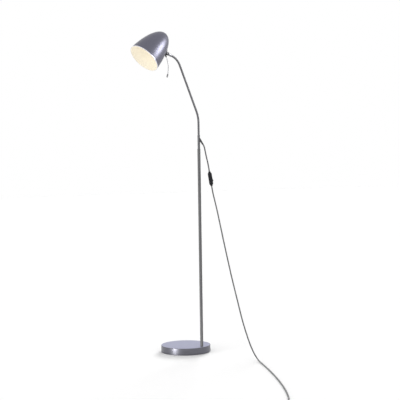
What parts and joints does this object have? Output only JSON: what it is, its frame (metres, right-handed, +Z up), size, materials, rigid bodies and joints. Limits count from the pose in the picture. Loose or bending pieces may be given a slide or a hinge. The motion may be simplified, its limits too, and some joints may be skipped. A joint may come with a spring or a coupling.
{
  "type": "floor lamp",
  "caption": "Reading floor lamp: round weighted base, slim pole, gooseneck, tilting bell shade with an aiming handle, and a side cord with an inline rocker switch and a flat plug.",
  "frame": {"origin": "centre of the base's underside, on the floor", "axes": "+Z up along the pole; the neck carries the shade towards -X from the pole, which stands near the base's -Y edge; +Y completes the frame"},
  "size_m": [0.5776, 1.0841, 1.2703],
  "materials": {
    "brushed_steel": "brushed, satin",
    "pole_steel": "brushed along its length",
    "hose_steel": "satin",
    "bright_steel": "polished",
    "zinc_steel": "zinc plated",
    "cast_iron": "rough",
    "foam": "matt foam",
    "black_plastic": "fine matt",
    "handle_wire": "satin wire",
    "handle_rubber": "soft matt",
    "shade_finish": "satin metallic grey outside, white inside",
    "holder_moulding": "moulded white",
    "brass": "plain",
    "bulb_cap_metal": "plain",
    "opal_glass": "opal, lit",
    "cord_sheath": "smooth sheath"
  },
  "bodies": {
    "stand": {"base_cover": "brushed_steel", "base_weight": "cast_iron", "base_pad": "foam", "base_washer": "zinc_steel", "base_bolt": "zinc_steel", "pole_foot_insert": "zinc_steel", "lower_pole": "pole_steel", "upper_pole": "pole_steel", "pole_joiner": "zinc_steel", "top_reducer": "pole_steel", "neck_nipple": "zinc_steel", "outlet_sleeve": "pole_steel", "outlet_bush": "black_plastic", "hose_0": "hose_steel", "cord_upper": "cord_sheath", "cord_lower": "cord_sheath", "switch_front": "black_plastic", "switch_back": "black_plastic", "switch_screws": "zinc_steel", "plug_body": "black_plastic", "plug_pins": "brass"},
    "neck_first": {"hose_1": "hose_steel"},
    "neck_second": {"hose_2": "hose_steel"},
    "neck_third": {"hose_3": "hose_steel"},
    "neck_fourth": {"hose_4": "hose_steel", "neck_ferrule": "bright_steel"},
    "swivel": {"swivel_fork": "black_plastic", "tilt_screw": "bright_steel", "tilt_nut": "bright_steel"},
    "head": {"shade_knuckle": "black_plastic", "threaded_stem": "zinc_steel", "ring_nut": "zinc_steel", "shade": "shade_finish", "holder_bracket": "zinc_steel", "holder_screw": "zinc_steel", "lamp_holder": "holder_moulding", "holder_shell": "brass", "holder_contact": "brass", "head_lead": "cord_sheath", "bulb_cap": "bulb_cap_metal", "bulb_glass": "opal_glass", "handle_rod": "handle_wire", "handle_tip": "handle_rubber"},
    "rocker": {"switch_rocker": "black_plastic"}
  },
  "joints": [
    {"name": "neck_sway_low", "type": "hinge", "parent": "stand", "child": "neck_first", "pos_m": [0.0188, -0.086, 0.894], "axis": [1, 0, 0], "range_deg": [-30, 30]},
    {"name": "neck_bend_low", "type": "hinge", "parent": "neck_first", "child": "neck_second", "pos_m": [0.01636, -0.086, 0.94454], "axis": [0, 1, 0], "range_deg": [-35, 35]},
    {"name": "neck_sway_high", "type": "hinge", "parent": "neck_second", "child": "neck_third", "pos_m": [-0.02624, -0.086, 1.05045], "axis": [0.9196, 0, 0.3928], "range_deg": [-30, 30]},
    {"name": "neck_bend_high", "type": "hinge", "parent": "neck_third", "child": "neck_fourth", "pos_m": [-0.08089, -0.086, 1.16558], "axis": [0, 1, 0], "range_deg": [-20, 45]},
    {"name": "head_turn", "type": "hinge", "parent": "neck_fourth", "child": "swivel", "pos_m": [-0.12717, -0.086, 1.18866], "axis": [-0.9397, 0, 0.342], "range_deg": [-60, 60]},
    {"name": "head_tilt", "type": "hinge", "parent": "swivel", "child": "head", "pos_m": [-0.12717, -0.086, 1.18866], "axis": [0, 1, 0], "range_deg": [-25, 45]},
    {"name": "rocker_tilt", "type": "hinge", "parent": "stand", "child": "rocker", "pos_m": [0.05258, -0.11941, 0.69921], "axis": [0.5735, 0.8183, -0.0392], "range_deg": [0, 14]}
  ]
}
